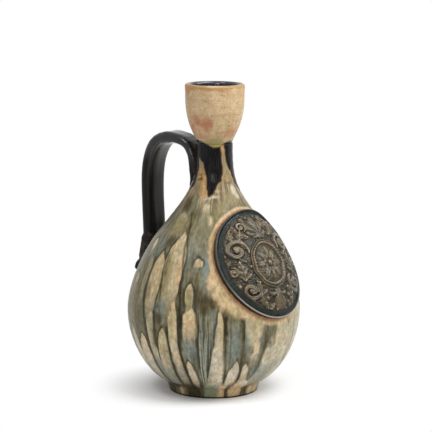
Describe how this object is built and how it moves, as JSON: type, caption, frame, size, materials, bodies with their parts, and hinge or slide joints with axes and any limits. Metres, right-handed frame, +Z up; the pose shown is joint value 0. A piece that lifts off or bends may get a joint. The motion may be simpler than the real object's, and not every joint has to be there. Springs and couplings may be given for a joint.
{
  "type": "handled bottle vase",
  "caption": "Glazed stoneware bottle vase: round belly on a low foot, slim neck, cup mouth, arched strap handle and an oval relief medallion.",
  "frame": {"origin": "centre of the flat underside of the foot, on the vase's turning axis", "axes": "+Z up along the turning axis, -Y the way the medallion faces, the handle at +Y"},
  "size_m": [0.1404, 0.1522, 0.2499],
  "materials": {
    "belly_glaze": "satin run glaze in grey-green, olive and cream streaks",
    "foot_glaze": "satin run glaze over a dry underside",
    "neck_glaze": "gloss brown-black drips over cream and amber",
    "cup_glaze": "matt sand glaze with iron specks, dark gloss inside",
    "handle_glaze": "charcoal black gloss",
    "plaque_glaze": "dark green-black satin",
    "sprig_glaze": "bronze-brown satin over dark ground"
  },
  "bodies": {
    "root": {"foot": "foot_glaze", "belly": "belly_glaze", "neck": "neck_glaze", "mouth_cup": "cup_glaze", "handle": "handle_glaze", "handle_wad": "handle_glaze", "plaque": "plaque_glaze", "plaque_rim": "plaque_glaze", "frame_oval": "sprig_glaze", "rosette": "sprig_glaze", "palmette": "sprig_glaze", "leaf_drop": "sprig_glaze", "scroll_upper_left": "sprig_glaze", "scroll_upper_right": "sprig_glaze", "scroll_lower_left": "sprig_glaze", "scroll_lower_right": "sprig_glaze", "leaf_left": "sprig_glaze", "leaf_right": "sprig_glaze", "berry_upper_left": "sprig_glaze", "berry_upper_right": "sprig_glaze", "berry_lower_left": "sprig_glaze", "berry_lower_right": "sprig_glaze"}
  },
  "joints": []
}
